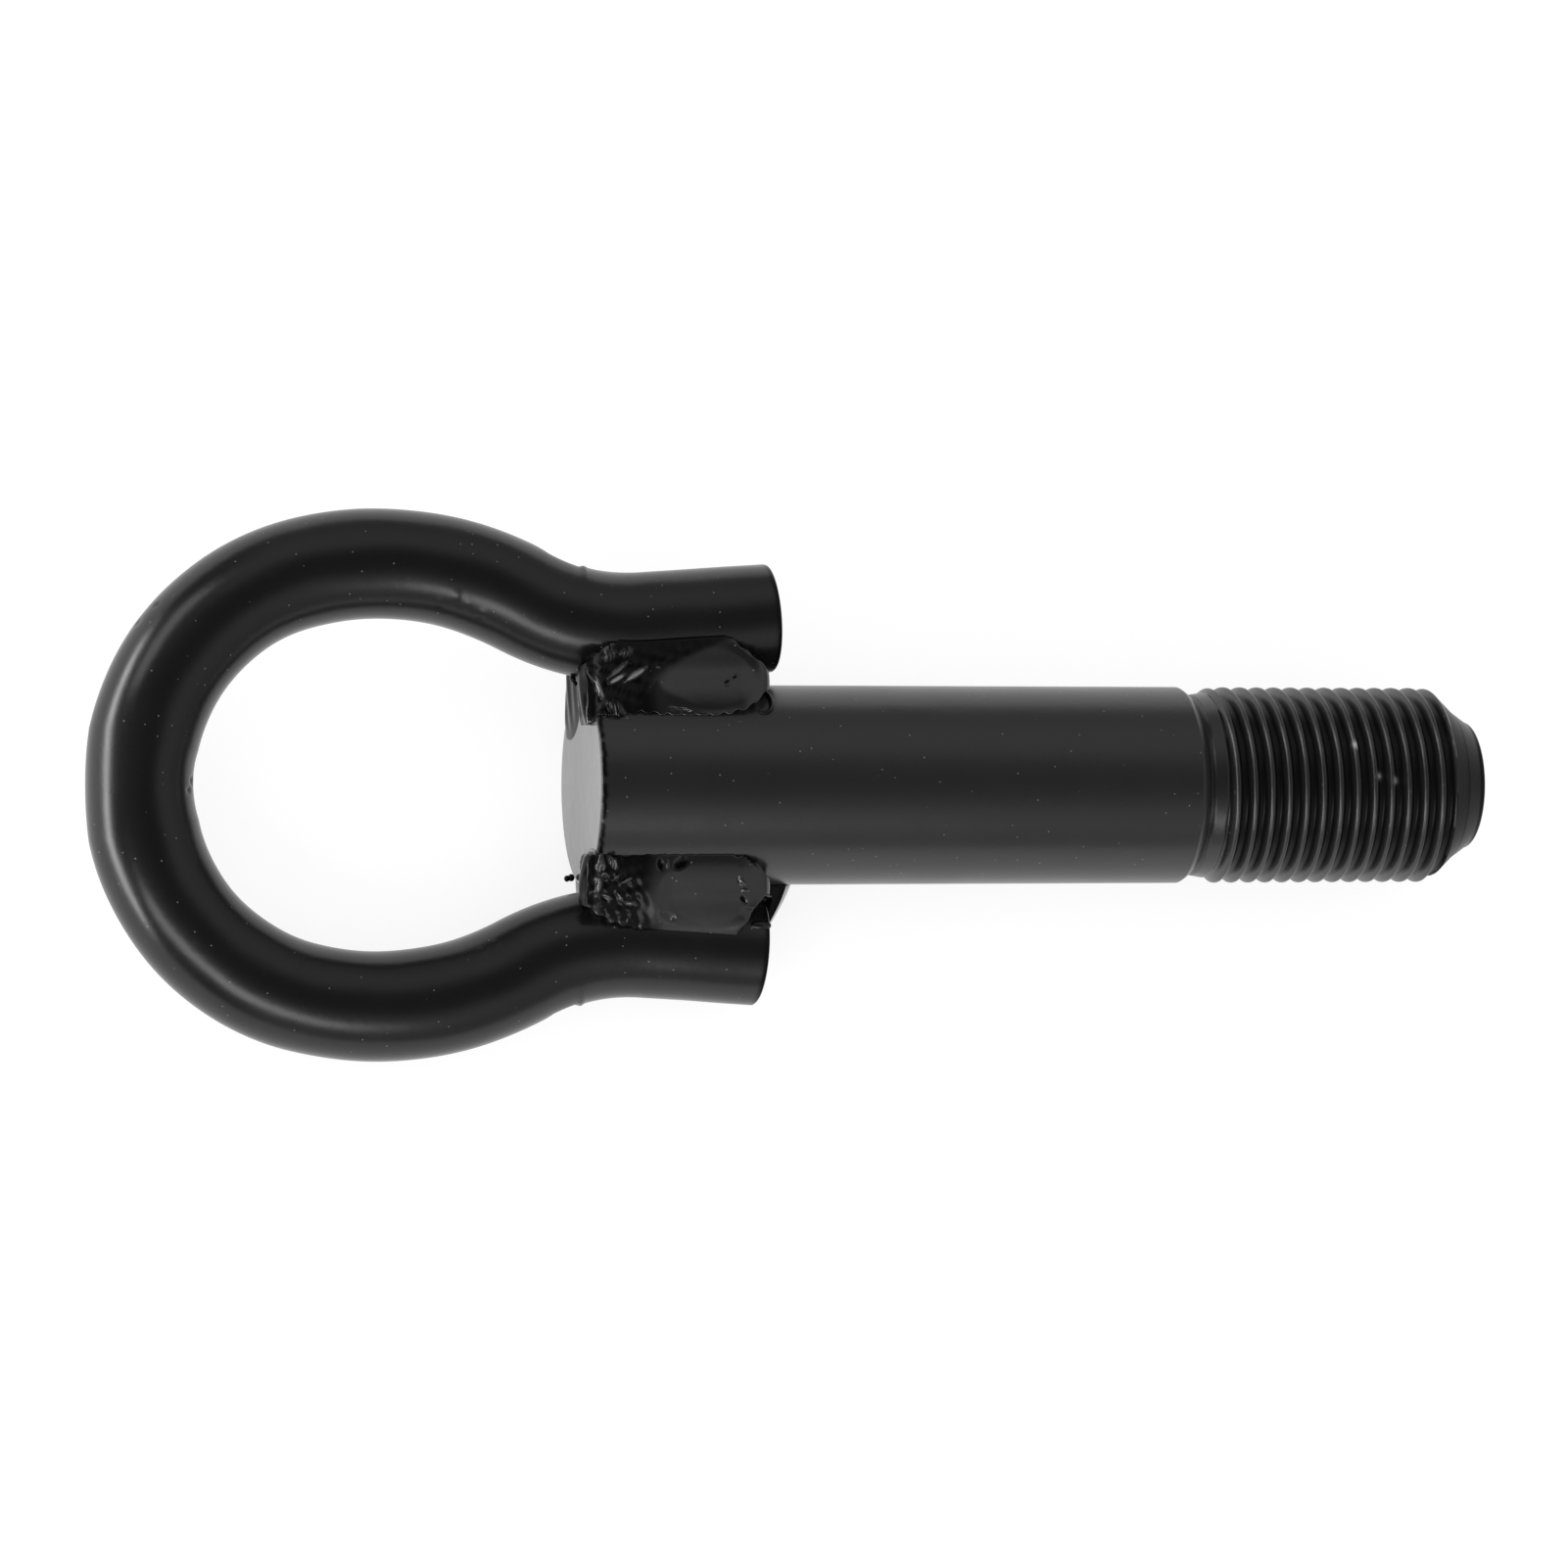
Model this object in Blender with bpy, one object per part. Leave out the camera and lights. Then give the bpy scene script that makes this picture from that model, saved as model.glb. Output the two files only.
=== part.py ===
"""Recovery tow hook: an eye bent from round bar, welded to both sides of a turned, threaded shank.

The hook's own frame has its origin on the shank's axis at the shank's back face. X runs along the shank
to the threaded nose, Y lies in the plane of the eye and Z stands square to it. The bar's left leg is at +Y.
An empty then lays the whole hook on the ground, rolled about the shank until the eye touches too.
"""

import math

import bmesh
import bpy
import numpy as np

MM = 0.001

# Turned shank, along X from its back face. Lengths are in millimetres and angles in degrees.
SHANK_DIAMETER = 22.0
BACK_CHAMFER = 0.4
BODY_LENGTH = 68.0
SHOULDER_LENGTH = 1.4
SHOULDER_CROWN = 0.15
GROOVE_DIAMETER = 19.1
GROOVE_FLARE = 0.2
NECK_DIAMETER = 20.3
NECK_LENGTH = 1.6
COLLAR_DIAMETER = 20.8
NOSE_LENGTH = 2.6
NOSE_BASE_DIAMETER = 17.3
NOSE_TIP_DIAMETER = 14.4
NOSE_EDGE = 0.5

# Right-hand metric screw thread, cut to the shank's own diameter
THREAD_LENGTH = 28.7
THREAD_PITCH = 2.0
THREAD_LEAD_IN = 0.7
THREAD_LEAD_OUT = 2.5
THREAD_PHASE = 0.15
CREST_SHARE = 1 / 8
ROOT_SHARE = 1 / 4
FLANK_ANGLE = 30.0

# Eye, cold bent from one length of round bar
BAR_DIAMETER = 12.0
EYE_INNER_WIDTH = 36.1
CROWN_BEND_ANGLE = 76.0
SHOULDER_BEND_RADIUS = 34.0
REVERSE_BEND_RADIUS = 25.0
LEG_SPLAY = 4.25
LEG_SEAT = 5.1
LEFT_LEG_REACH = 21.3
RIGHT_LEG_REACH = 19.9
BAR_END_CHAMFER = 0.5
CROWN_PINCH = 0.22
CROWN_PINCH_ANGLE = 12.0

# Welds, one run in each groove between a leg and the shank
WELD_GAP = 0.3
TOE_ON_SHANK = 47.0
TOE_ON_BAR = 75.0
WELD_BULGE = 0.5
WELD_CORE_DEPTH = 1.0
WELD_RIPPLE = 0.35
RIPPLE_PITCH = 1.7
ROUGH_LENGTH = 8.0
WELD_OVERRUN = 1.0
WELD_TAIL_RADIUS = 4.5
WELD_END_LENGTH = 3.4
LEFT_WELD_STOP_SHORT = 1.1
RIGHT_WELD_STOP_SHORT = 0.4
WELD_RUN_PAST = 1.3
WELD_RUN_ON_SHANK = 2.6

# How finely round forms are drawn
SHANK_SIDES = 40
BAR_SIDES = 20
BEND_STEP = 2.4
WELD_STEP = 1.1
SHOULDER_RINGS = 3
CROWN_POINTS = 7
SHANK_SIDE_POINTS = 6
BAR_SIDE_POINTS = 7
CAP_RINGS = 4
RAY_STEP = 0.015
RIM_STEP = 0.01
PATH_SAMPLES = 600
FIRST_TURN_SHARE = 0.8

# What the driving dimensions give
SHANK_RADIUS = SHANK_DIAMETER / 2
COLLAR_RADIUS = COLLAR_DIAMETER / 2
BAR_RADIUS = BAR_DIAMETER / 2
EYE_HALF_WIDTH = EYE_INNER_WIDTH / 2 + BAR_RADIUS
GROOVE_START = BODY_LENGTH + SHOULDER_LENGTH
NECK_START = GROOVE_START + GROOVE_FLARE
THREAD_START = NECK_START + NECK_LENGTH
THREAD_END = THREAD_START + THREAD_LENGTH
SHANK_LENGTH = THREAD_END + NOSE_LENGTH
FLANK_WIDTH = THREAD_PITCH * (1 - CREST_SHARE - ROOT_SHARE) / 2
THREAD_DEPTH = FLANK_WIDTH / math.tan(math.radians(FLANK_ANGLE))
REST_ROLL = math.asin((SHANK_RADIUS - BAR_RADIUS) / EYE_HALF_WIDTH)
REST_HEIGHT = SHANK_RADIUS * math.cos(math.pi / SHANK_SIDES)


def clear_scene():
    for obj in list(bpy.data.objects):
        bpy.data.objects.remove(obj, do_unlink=True)


def painted_steel(name, colour, roughness):
    """Black paint over steel: the coat hides the metal, so it isn't metallic."""
    material = bpy.data.materials.new(name)
    material.use_nodes = True
    shader = material.node_tree.nodes["Principled BSDF"]
    shader.inputs["Base Color"].default_value = (*colour, 1.0)
    shader.inputs["Roughness"].default_value = roughness
    shader.inputs["Metallic"].default_value = 0.0
    return material


def skinned(name, rings, material, parent, sharp=35.0):
    """A closed object through rings of equal length, in millimetres. The first and last ring are filled."""
    shape = bmesh.new()
    rows = [[shape.verts.new([c * MM for c in point]) for point in ring] for ring in rings]
    for lower, upper in zip(rows, rows[1:]):
        for i in range(len(lower)):
            j = (i + 1) % len(lower)
            shape.faces.new((lower[i], lower[j], upper[j], upper[i]))
    shape.faces.new(rows[0][::-1])
    shape.faces.new(rows[-1])
    return finished(name, shape, material, parent, sharp)


def finished(name, shape, material, parent, sharp):
    """Turns a bmesh into a smooth shaded object under the rest frame, with its doubled points merged."""
    bmesh.ops.remove_doubles(shape, verts=shape.verts, dist=0.002 * MM)
    bmesh.ops.recalc_face_normals(shape, faces=shape.faces)
    mesh = bpy.data.meshes.new(name)
    shape.to_mesh(mesh)
    shape.free()
    mesh.materials.append(material)
    mesh.shade_smooth()
    mesh.set_sharp_from_angle(angle=math.radians(sharp))
    obj = bpy.data.objects.new(name, mesh)
    bpy.context.scene.collection.objects.link(obj)
    obj.parent = parent
    return obj


def half_bar_path(reach):
    """Half the bar's centre-line, as (x, y, heading) in the eye's plane, from its crown to a leg's end.

    The bar leaves the crown square to X. It turns inwards through the crown bend and the wider shoulder
    bend, then back through the reverse bend, whose innermost point seats the leg, and ends straight.
    """
    crown_turn = math.radians(CROWN_BEND_ANGLE)
    splay = math.radians(LEG_SPLAY)
    seat_height = SHANK_RADIUS + WELD_GAP + BAR_RADIUS
    crown_radius = EYE_HALF_WIDTH - SHOULDER_BEND_RADIUS * (1 - math.sin(crown_turn))
    crown_radius /= math.sin(crown_turn)
    drop = (EYE_HALF_WIDTH - seat_height) / (SHOULDER_BEND_RADIUS + REVERSE_BEND_RADIUS)
    slope = math.acos(1 - drop)
    bends = (
        (crown_radius, crown_turn, -1),
        (SHOULDER_BEND_RADIUS, math.pi / 2 - crown_turn + slope, -1),
        (REVERSE_BEND_RADIUS, slope + splay, 1),
    )
    eye_length = crown_radius * (1 - math.cos(crown_turn))
    eye_length += SHOULDER_BEND_RADIUS * (math.cos(crown_turn) + math.sin(slope))
    eye_length += REVERSE_BEND_RADIUS * math.sin(slope)
    x, y, heading = LEG_SEAT - eye_length, 0.0, math.pi / 2
    path = [(x, y, heading)]
    for radius, turn, way in bends:
        centre_x = x - way * radius * math.sin(heading)
        centre_y = y + way * radius * math.cos(heading)
        steps = max(3, round(radius * turn / BEND_STEP))
        start = heading
        for step in range(1, steps + 1):
            heading = start + way * turn * step / steps
            x = centre_x + way * radius * math.sin(heading)
            y = centre_y - way * radius * math.cos(heading)
            path.append((x, y, heading))
    run = (reach - x) / math.cos(splay)
    for share in (0.5, 1.0):
        path.append((x + share * run * math.cos(splay), y + share * run * math.sin(splay), splay))
    return path


def bar_path():
    """The whole centre-line, from the left leg's end round the eye to the right leg's end."""
    left = [(x, y, heading + math.pi) for x, y, heading in reversed(half_bar_path(LEFT_LEG_REACH))]
    right = [(x, -y, -heading) for x, y, heading in half_bar_path(RIGHT_LEG_REACH)[1:]]
    return left + right


def crown_pinch(heading):
    """How much the bend has flattened the bar, inside and outside, at the crown of the eye."""
    turned = math.cos(heading) / math.sin(math.radians(CROWN_PINCH_ANGLE))
    return CROWN_PINCH * max(0.0, 1 - turned**2)


def bar_ring(x, y, heading, radius, shift=0.0):
    """A round section square to the centre-line, moved along it by shift, and flatter at the crown."""
    x += shift * math.cos(heading)
    y += shift * math.sin(heading)
    ring = []
    for i in range(BAR_SIDES):
        angle = 2 * math.pi * i / BAR_SIDES
        across = (radius - crown_pinch(heading)) * math.cos(angle)
        lift = radius * math.sin(angle)
        ring.append((x - across * math.sin(heading), y + across * math.cos(heading), lift))
    return ring


def make_eye_bar(material, parent):
    """The bar swept along its bends, with both sawn ends chamfered."""
    path = bar_path()
    rings = [bar_ring(*path[0], BAR_RADIUS - BAR_END_CHAMFER)]
    rings.append(bar_ring(*path[0], BAR_RADIUS, BAR_END_CHAMFER))
    rings += [bar_ring(*point, BAR_RADIUS) for point in path[1:-1]]
    rings.append(bar_ring(*path[-1], BAR_RADIUS, -BAR_END_CHAMFER))
    rings.append(bar_ring(*path[-1], BAR_RADIUS - BAR_END_CHAMFER))
    return skinned("eye_bar", rings, material, parent)


def shank_angle(column):
    """Angle of one column of the shank's facets. One facet faces straight down at rest."""
    return -math.pi / 2 - REST_ROLL + 2 * math.pi * (column + 0.5) / SHANK_SIDES


def shank_ring(x, radius):
    angles = [shank_angle(column) for column in range(SHANK_SIDES)]
    return [(x, radius * math.cos(angle), radius * math.sin(angle)) for angle in angles]


def thread_envelope(x):
    """The blank's radius under the thread, with its lead-in at the collar and its lead-out at the nose."""
    rise = COLLAR_RADIUS + (SHANK_RADIUS - COLLAR_RADIUS) * (x - THREAD_START) / THREAD_LEAD_IN
    nose_radius = NOSE_BASE_DIAMETER / 2
    fall = nose_radius + (SHANK_RADIUS - nose_radius) * (THREAD_END - x) / THREAD_LEAD_OUT
    return min(SHANK_RADIUS, rise, fall)


def thread_rows():
    """Helical rows of the thread from the collar to the nose, one for each corner of the profile.

    A row climbs one pitch as it goes round, so its last point meets the next turn's first. Points past
    either end of the thread are held there, on the collar's edge or the nose's, and fall together.
    """
    corners = (
        (0.0, SHANK_RADIUS),
        (CREST_SHARE, SHANK_RADIUS),
        (CREST_SHARE + FLANK_WIDTH / THREAD_PITCH, SHANK_RADIUS - THREAD_DEPTH),
        (1 - FLANK_WIDTH / THREAD_PITCH, SHANK_RADIUS - THREAD_DEPTH),
    )
    edges = {THREAD_START: COLLAR_RADIUS, THREAD_END: NOSE_BASE_DIAMETER / 2}
    turns = math.ceil(THREAD_LENGTH / THREAD_PITCH) + 2
    rows = []
    for turn in range(-2, turns):
        for share, radius in corners:
            row = []
            for column in range(SHANK_SIDES + 1):
                x = THREAD_START + THREAD_PITCH * (turn + THREAD_PHASE + share + column / SHANK_SIDES)
                held = min(max(x, THREAD_START), THREAD_END)
                reach = edges.get(held, min(radius, thread_envelope(held)))
                angle = shank_angle(column)
                row.append((held, reach * math.cos(angle), reach * math.sin(angle)))
            rows.append(row)
    return rows


def shoulder_profile():
    """The body's slightly crowned chamfer, as (x, radius), down to the relief groove."""
    drop = SHANK_RADIUS - GROOVE_DIAMETER / 2
    points = []
    for step in range(SHOULDER_RINGS + 1):
        share = step / SHOULDER_RINGS
        proud = 4 * SHOULDER_CROWN * share * (1 - share)
        points.append((BODY_LENGTH + share * SHOULDER_LENGTH, SHANK_RADIUS - share * drop + proud))
    return points


def make_shank(material, parent):
    """The turned shank: plain body, shoulder, relief groove, neck, screw thread and blunt conical nose."""
    body = [(0.0, SHANK_RADIUS - BACK_CHAMFER), (BACK_CHAMFER, SHANK_RADIUS)]
    body += shoulder_profile()
    body += [(NECK_START, NECK_DIAMETER / 2), (THREAD_START, COLLAR_RADIUS)]
    tip_radius = NOSE_TIP_DIAMETER / 2
    nose = [
        (THREAD_END, NOSE_BASE_DIAMETER / 2),
        (SHANK_LENGTH - NOSE_EDGE, tip_radius),
        (SHANK_LENGTH, tip_radius - NOSE_EDGE),
    ]
    shape = bmesh.new()
    for profile, end in ((body, 0), (nose, -1)):
        rings = [shank_ring(x, radius) for x, radius in profile]
        rows = bridge(shape, [ring + ring[:1] for ring in rings])
        shape.faces.new(rows[end][:-1])
    bridge(shape, thread_rows())
    return finished("threaded_shank", shape, material, parent, 25.0)


def bridge(shape, rings):
    """Faces between neighbouring rows of points in millimetres. It returns the rows of new vertices."""
    rows = [[shape.verts.new([c * MM for c in point]) for point in ring] for ring in rings]
    for lower, upper in zip(rows, rows[1:]):
        for i in range(len(lower) - 1):
            shape.faces.new((lower[i], lower[i + 1], upper[i + 1], upper[i]))
    return rows


def weld_clearance(x, y, z, bar_line):
    """Distance from points to the nearer of the shank and the bar, negative inside either."""
    beside = np.hypot(y, z) - SHANK_RADIUS
    behind = -x
    outside = np.hypot(np.maximum(beside, 0), np.maximum(behind, 0))
    to_shank = np.where((beside < 0) & (behind < 0), np.maximum(beside, behind), outside)
    in_plane = np.hypot(x[..., None] - bar_line[:, 0], y[..., None] - bar_line[:, 1]).min(-1)
    return np.minimum(to_shank, np.hypot(in_plane, z) - BAR_RADIUS)


def toe(radius, angle):
    """A weld's edge, WELD_GAP off a round section, angle degrees up from the line of centres."""
    turn = math.radians(angle)
    return (radius + WELD_GAP) * np.array([math.cos(turn), math.sin(turn)])


def weld_bulge(x):
    """How far the bead stands above the line between its toes: in waves over the rough start, then even."""
    rough = max(0.0, 1 - x / ROUGH_LENGTH)
    return WELD_BULGE + WELD_RIPPLE * rough * math.cos(2 * math.pi * x / RIPPLE_PITCH)


def weld_ring(x, leg_height, fullness, bar_line):
    """Section of a bead at x, in the groove above the eye's plane on the left leg.

    Rays leave a point inside the bead. Each ends at the crown, an arc between the two toes, or WELD_GAP
    short of the metal that it meets.
    """
    shank_toe = toe(SHANK_RADIUS, TOE_ON_SHANK)
    bar_toe = toe(BAR_RADIUS, TOE_ON_BAR) * (-1, 1) + (leg_height, 0)
    chord = bar_toe - shank_toe
    width = np.hypot(*chord)
    up = np.array([-chord[1], chord[0]]) / width
    middle = (shank_toe + bar_toe) / 2
    bulge = weld_bulge(x)
    crown_radius = (width**2 / 4 + bulge**2) / (2 * bulge)
    crown_centre = middle + up * (bulge - crown_radius)
    core = middle - up * WELD_CORE_DEPTH
    root = np.array([(SHANK_RADIUS + leg_height - BAR_RADIUS) / 2, 0.0])

    aims = [math.atan2(*(point - core)[::-1]) for point in (bar_toe, shank_toe, root)]
    aims[1] += 2 * math.pi if aims[1] < aims[0] else 0
    aims[2] += 2 * math.pi if aims[2] < aims[1] else 0
    splits = np.cumsum((0, CROWN_POINTS, SHANK_SIDE_POINTS, BAR_SIDE_POINTS))
    turns = np.interp(np.arange(splits[-1]), splits, (*aims, aims[0] + 2 * math.pi))
    way = np.stack([np.cos(turns), np.sin(turns)], -1)

    along = (core - crown_centre) @ way.T
    inside = crown_radius**2 - np.sum((core - crown_centre) ** 2)
    crown = np.sqrt(along**2 + inside) - along
    limit = np.minimum(crown, WELD_TAIL_RADIUS if x <= -WELD_GAP else width) * fullness
    reach = np.arange(0.0, width, RAY_STEP)
    y = core[0] + reach * way[:, :1]
    z = core[1] + reach * way[:, 1:]
    clear = np.minimum(weld_clearance(np.full_like(y, x), y, z, bar_line) - WELD_GAP, z - WELD_GAP / 2)
    blocked = clear < 0
    first = np.where(blocked.any(1), blocked.argmax(1), len(reach) - 1)
    limit = np.minimum(limit, reach[np.maximum(first - 1, 0)])
    return [(x, core[0] + d * w[0], core[1] + d * w[1]) for d, w in zip(limit, way)]


def weld_stations(end):
    """(x, fullness) along a bead: a round tail past the shank's back face, the run, and a round end."""
    tail = WELD_OVERRUN - WELD_GAP
    even_end = end - WELD_END_LENGTH
    steps = round(even_end / WELD_STEP)
    rings = [(ring + FIRST_TURN_SHARE) / (CAP_RINGS + FIRST_TURN_SHARE) for ring in range(CAP_RINGS)]
    turns = [math.pi / 2 * share for share in rings]
    stations = [(-WELD_GAP - tail * math.cos(turn), math.sin(turn)) for turn in turns]
    stations += [(-WELD_GAP, 1.0), (-WELD_GAP + RIM_STEP, 1.0)]
    stations += [(even_end * step / steps, 1.0) for step in range(steps + 1)]
    stations += [(even_end + WELD_END_LENGTH * math.cos(turn), math.sin(turn)) for turn in reversed(turns)]
    return stations


def make_weld(name, side, face, reach, end, run_on, material, parent):
    """One bead from the shank's back face to x = end. On the shank's side its end leans on by run_on.

    side is 1 at the left leg and -1 at the right, face is 1 above the eye's plane and -1 below.
    """
    half = np.array(half_bar_path(reach))
    spaced = np.linspace(0, len(half) - 1, PATH_SAMPLES)
    bar_line = np.stack([np.interp(spaced, np.arange(len(half)), half[:, k]) for k in (0, 1)], -1)
    legs = half[half[:, 0] > half[:, 0].min()]
    rings = []
    for x, fullness in weld_stations(end):
        leg_height = np.interp(x, legs[:, 0], legs[:, 1])
        lean = run_on * max(0.0, 1 - (end - x) / WELD_END_LENGTH) / (leg_height - SHANK_RADIUS)
        ring = weld_ring(x, leg_height, fullness, bar_line)
        rings.append([(px + lean * (leg_height - py), side * py, face * pz) for px, py, pz in ring])
    return skinned(name, rings, material, parent)


def make_hook():
    clear_scene()
    rest = bpy.data.objects.new("rest_frame", None)
    bpy.context.scene.collection.objects.link(rest)
    bar_paint = painted_steel("bar_paint", (0.020, 0.020, 0.021), 0.30)
    shank_paint = painted_steel("shank_paint", (0.022, 0.022, 0.023), 0.32)
    weld_paint = painted_steel("weld_paint", (0.022, 0.022, 0.023), 0.26)
    bar = make_eye_bar(bar_paint, rest)
    make_shank(shank_paint, rest)
    left_end = LEFT_LEG_REACH - LEFT_WELD_STOP_SHORT
    right_end = RIGHT_LEG_REACH - RIGHT_WELD_STOP_SHORT
    far_end = RIGHT_LEG_REACH + WELD_RUN_PAST
    for name, side, face, reach, end, run_on in (
        ("weld_left_upper", 1, 1, LEFT_LEG_REACH, left_end, 0.0),
        ("weld_left_under", 1, -1, LEFT_LEG_REACH, left_end, 0.0),
        ("weld_right_upper", -1, 1, RIGHT_LEG_REACH, right_end, 0.0),
        ("weld_right_under", -1, -1, RIGHT_LEG_REACH, far_end, WELD_RUN_ON_SHANK),
    ):
        make_weld(name, side, face, reach, end, run_on, weld_paint, rest)
    back_end = min(corner[0] for corner in bar.bound_box)
    rest.location = (-(back_end + SHANK_LENGTH * MM) / 2, 0.0, REST_HEIGHT * MM)
    rest.rotation_euler = (REST_ROLL, 0.0, 0.0)


make_hook()
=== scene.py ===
# Recovery tow hook: a bent bar eye welded to a turned, threaded shank, all in semi-gloss black paint.
import math

import bmesh
import bpy
import numpy as np
from mathutils import Matrix, Vector


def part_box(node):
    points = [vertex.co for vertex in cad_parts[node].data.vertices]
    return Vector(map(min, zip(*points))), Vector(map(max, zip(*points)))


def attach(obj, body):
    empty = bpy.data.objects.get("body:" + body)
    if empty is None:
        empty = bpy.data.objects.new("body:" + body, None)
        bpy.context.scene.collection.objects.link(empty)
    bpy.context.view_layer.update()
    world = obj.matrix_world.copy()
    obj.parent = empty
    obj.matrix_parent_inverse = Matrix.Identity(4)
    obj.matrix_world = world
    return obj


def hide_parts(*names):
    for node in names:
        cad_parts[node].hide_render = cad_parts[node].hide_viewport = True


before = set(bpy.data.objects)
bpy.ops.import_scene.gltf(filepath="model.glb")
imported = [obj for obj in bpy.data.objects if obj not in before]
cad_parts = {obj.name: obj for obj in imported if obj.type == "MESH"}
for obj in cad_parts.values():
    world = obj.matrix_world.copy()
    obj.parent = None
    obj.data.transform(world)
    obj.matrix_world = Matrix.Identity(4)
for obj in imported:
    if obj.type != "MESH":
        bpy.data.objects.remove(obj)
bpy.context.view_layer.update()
mm = 0.001

# The hook's own frame, in millimetres: origin on the shank's axis at its back face, x to the nose, y in
# the eye's plane. The left leg is at +y. Rest turns that frame about x and lifts it onto the ground.
hook = {
    "shankDiameter": 22.0,
    "barDiameter": 12.0,
    "eyeInnerWidth": 36.1,
    "legGap": 0.3,  # between a leg and the shank, where they come nearest
    "mergeWithin": 0.002,  # points closer than this are one
}
shankRadius = hook["shankDiameter"] / 2
barRadius = hook["barDiameter"] / 2
eyeHalfWidth = hook["eyeInnerWidth"] / 2 + barRadius
seatHeight = shankRadius + hook["legGap"] + barRadius  # a leg's centre-line over the shank's axis
restRoll = math.asin((shankRadius - barRadius) / eyeHalfWidth)
shankLow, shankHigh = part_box("threaded_shank")
axisHeight = (shankLow.z + shankHigh.z) / 2
restPlace = Matrix.Translation((shankLow.x, 0, axisHeight)) @ Matrix.Rotation(restRoll, 4, "X")


# Points of the hook's frame, turned by the roll and lifted to where the hook lies, in metres.
def toRest(points):
    turn = np.array(restPlace.to_3x3())
    return points * mm @ turn.T + np.array(restPlace.translation)


# Quads between neighbouring points of a grid whose last column joins its first.
def gridFaces(rows, columns, first=0):
    a = first + np.arange((rows - 1) * columns).reshape(rows - 1, columns)
    b = np.roll(a, -1, axis=1)
    return np.stack([a, b, b + columns, a + columns], -1).reshape(-1, 4)


# A smooth mesh from points in the hook's frame and quads, which stands for its CAD nodes. Marks holds a
# number from 0 to 1 for each point under the name of a mark that the paint reads.
def makePiece(name, points, faces, material, nodes, marks):
    mesh = bpy.data.meshes.new(name)
    mesh.from_pydata(toRest(points).tolist(), [], faces.tolist())
    for mark in ("shadeAndPit", "sawnSheen", "wearAndGlint"):
        values = np.clip(marks.get(mark, np.zeros(len(points))), 0, 1)
        mesh.attributes.new(mark, "FLOAT", "POINT").data.foreach_set("value", values.ravel())
    shape = bmesh.new()
    shape.from_mesh(mesh)
    bmesh.ops.remove_doubles(shape, verts=shape.verts, dist=hook["mergeWithin"] * mm)
    bmesh.ops.recalc_face_normals(shape, faces=shape.faces)
    shape.to_mesh(mesh)
    shape.free()
    mesh.shade_smooth()
    mesh.materials.append(material)
    piece = bpy.data.objects.new(name, mesh)
    bpy.context.scene.collection.objects.link(piece)
    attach(piece, "root")
    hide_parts(*nodes)
    print("made", name, len(mesh.polygons), "faces")


# A smooth hump of height 1 that is width wide at 60 per cent of its height.
def bell(x, middle, width):
    return np.exp(-(((x - middle) / (width / 2)) ** 2) / 2)


# Rises smoothly from 0 at start to 1 at end: 3 t^2 - 2 t^3 of the share t between them.
def step(x, start, end):
    t = np.clip((x - start) / (end - start), 0, 1)
    return t * t * (3 - 2 * t)


# An sRGB hex colour as linear red, green, blue and alpha, by the sRGB curve.
def hexColour(text):
    channels = np.array([int(text[i : i + 2], 16) for i in (1, 3, 5)]) / 255
    linear = np.where(channels <= 0.04045, channels / 12.92, ((channels + 0.055) / 1.055) ** 2.4)
    return (*linear.tolist(), 1.0)


# Adds a node, sets its fields and its sockets, and links a socket whose value is another node's output.
# A socket goes by its name, with _ for a space, or by its number after the word in.
def addNode(tree, kind, settings=None, **inputs):
    node = tree.nodes.new(kind)
    for field, value in (settings or {}).items():
        setattr(node, field, value)
    for socket, value in inputs.items():
        byNumber = socket[:2] == "in" and socket[2:].isdigit()
        target = node.inputs[int(socket[2:]) if byNumber else socket.replace("_", " ")]
        if isinstance(value, bpy.types.NodeSocket):
            tree.links.new(value, target)
        else:
            target.default_value = value
    return node


# Black paint

paint = {
    "cloud": 9,  # mm across the patches that differ in gloss
    "smoother": 0.05,  # how far the roughness falls in them
    "rougher": 0.07,  # and rises
    "swell": 4.5,  # mm across the waves where the wet coat has sagged
    "swellHeight": 0.05,  # mm, and the share of it that is seen
    "swellStrength": 0.6,
    "peelHeight": 0.02,  # the same for the fine orange peel
    "peelStrength": 0.5,
    "speckSpacing": 1.3,  # mm between the places where a speck of dust may lie
    "speckShare": 0.75,  # of those places that have one
    "speckRadius": 0.07,  # as a share of the spacing, so that a speck is two tenths of a millimetre wide
    "speckColour": "#585858",
    # pale steel of the sawn face, lifted partly as a painted sheen of the white floor
    "sawnSheenColour": "#555556",
    "sawnRoughness": 0.11,
    # steel in the shank's nicks, and a painted glint on the weld beads' ridges
    "wearAndGlintColour": "#a2a2a2",
    # painted shade in creases, hollows and edges, and the sawn face's real small holes; the gloss below goes
    # with it
    "shadeAndPitColour": "#050505",
    "gloss": 0.5,  # specular level of the plain paint
    "shadeAndPitGloss": 0.03,
}
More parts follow.
